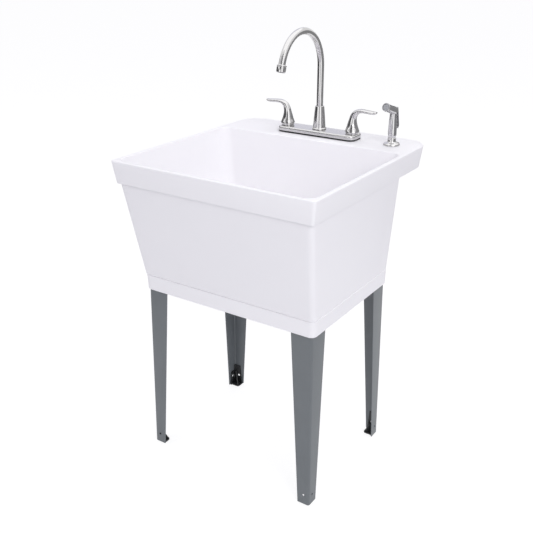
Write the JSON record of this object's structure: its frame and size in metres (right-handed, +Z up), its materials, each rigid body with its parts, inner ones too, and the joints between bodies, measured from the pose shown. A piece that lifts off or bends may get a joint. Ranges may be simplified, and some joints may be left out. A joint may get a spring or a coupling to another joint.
{
  "type": "utility laundry sink",
  "caption": "Freestanding utility sink: a moulded tub on angle legs, with a gooseneck lever faucet, a side sprayer and a bowl drain.",
  "frame": {"origin": "on the floor, under the centre of the tub's rim", "axes": "+X to the right of a person facing the sink, +Y to the faucet side at the back, +Z up"},
  "size_m": [0.581, 0.606, 1.1384],
  "materials": {
    "tub_plastic": "satin moulded plastic",
    "leg_paint": "satin grey paint",
    "foot_plastic": "satin",
    "faucet_metal": "polished",
    "plate_steel": "bright satin",
    "sprayer_shell": "bright metallised plastic",
    "drain_steel": "brushed",
    "waterway_brass": "as cast and turned",
    "rubber_seal": "matte",
    "stopper_rubber": "matte",
    "grey_plastic": "satin",
    "white_plastic": "satin",
    "black_plastic": "satin"
  },
  "bodies": {
    "base": {"tub": "tub_plastic", "leg_front_left": "leg_paint", "leg_front_right": "leg_paint", "leg_back_left": "leg_paint", "leg_back_right": "leg_paint", "foot_front_left": "foot_plastic", "foot_front_right": "foot_plastic", "foot_back_left": "foot_plastic", "foot_back_right": "foot_plastic", "drain_body": "drain_steel", "drain_gasket": "rubber_seal", "drain_locknut": "grey_plastic", "drain_tailpiece": "white_plastic", "drain_tailpiece_nut": "white_plastic", "plate_gasket": "rubber_seal", "deck_plate": "plate_steel", "faucet_waterway": "waterway_brass", "spout_bushing": "white_plastic", "spout_collar": "faucet_metal", "tap_ring_left": "faucet_metal", "tap_ring_right": "faucet_metal", "tap_cartridge_left": "waterway_brass", "tap_cartridge_right": "waterway_brass", "shank_washer_left": "black_plastic", "shank_washer_right": "black_plastic", "shank_nut_left": "black_plastic", "shank_nut_right": "black_plastic", "sprayer_holder": "faucet_metal", "sprayer_holder_nut": "black_plastic"},
    "spout": {"spout_tube": "faucet_metal", "aerator_housing": "faucet_metal", "aerator_insert": "grey_plastic"},
    "tap_left": {"tap_handle_left": "faucet_metal", "tap_stem_left": "waterway_brass"},
    "tap_right": {"tap_handle_right": "faucet_metal", "tap_stem_right": "waterway_brass"},
    "sprayer": {"sprayer_body": "sprayer_shell", "sprayer_face": "grey_plastic", "sprayer_trigger_pin": "drain_steel"},
    "trigger": {"sprayer_trigger": "sprayer_shell"},
    "stopper": {"drain_stopper": "stopper_rubber"}
  },
  "joints": [
    {"name": "spout_swivel", "type": "hinge", "parent": "base", "child": "spout", "pos_m": [0, 0.213, 0.95], "axis": [0, 0, 1], "continuous": true},
    {"name": "tap_left_turn", "type": "hinge", "parent": "base", "child": "tap_left", "pos_m": [-0.1016, 0.213, 0.9], "axis": [0, 0, 1], "range_deg": [0, 90]},
    {"name": "tap_right_turn", "type": "hinge", "parent": "base", "child": "tap_right", "pos_m": [0.1016, 0.213, 0.9], "axis": [0, 0, 1], "range_deg": [-90, 0]},
    {"name": "sprayer_lift", "type": "slide", "parent": "base", "child": "sprayer", "axis": [0, 0, 1], "range_m": [0, 0.07]},
    {"name": "trigger_press", "type": "hinge", "parent": "sprayer", "child": "trigger", "pos_m": [0.2173, 0.2245, 0.9411], "axis": [-1, 0, 0], "range_deg": [0, 6], "stiffness_Nm_per_rad": 1},
    {"name": "stopper_lift", "type": "slide", "parent": "base", "child": "stopper", "axis": [0, 0, 1], "range_m": [0, 0.06]}
  ]
}
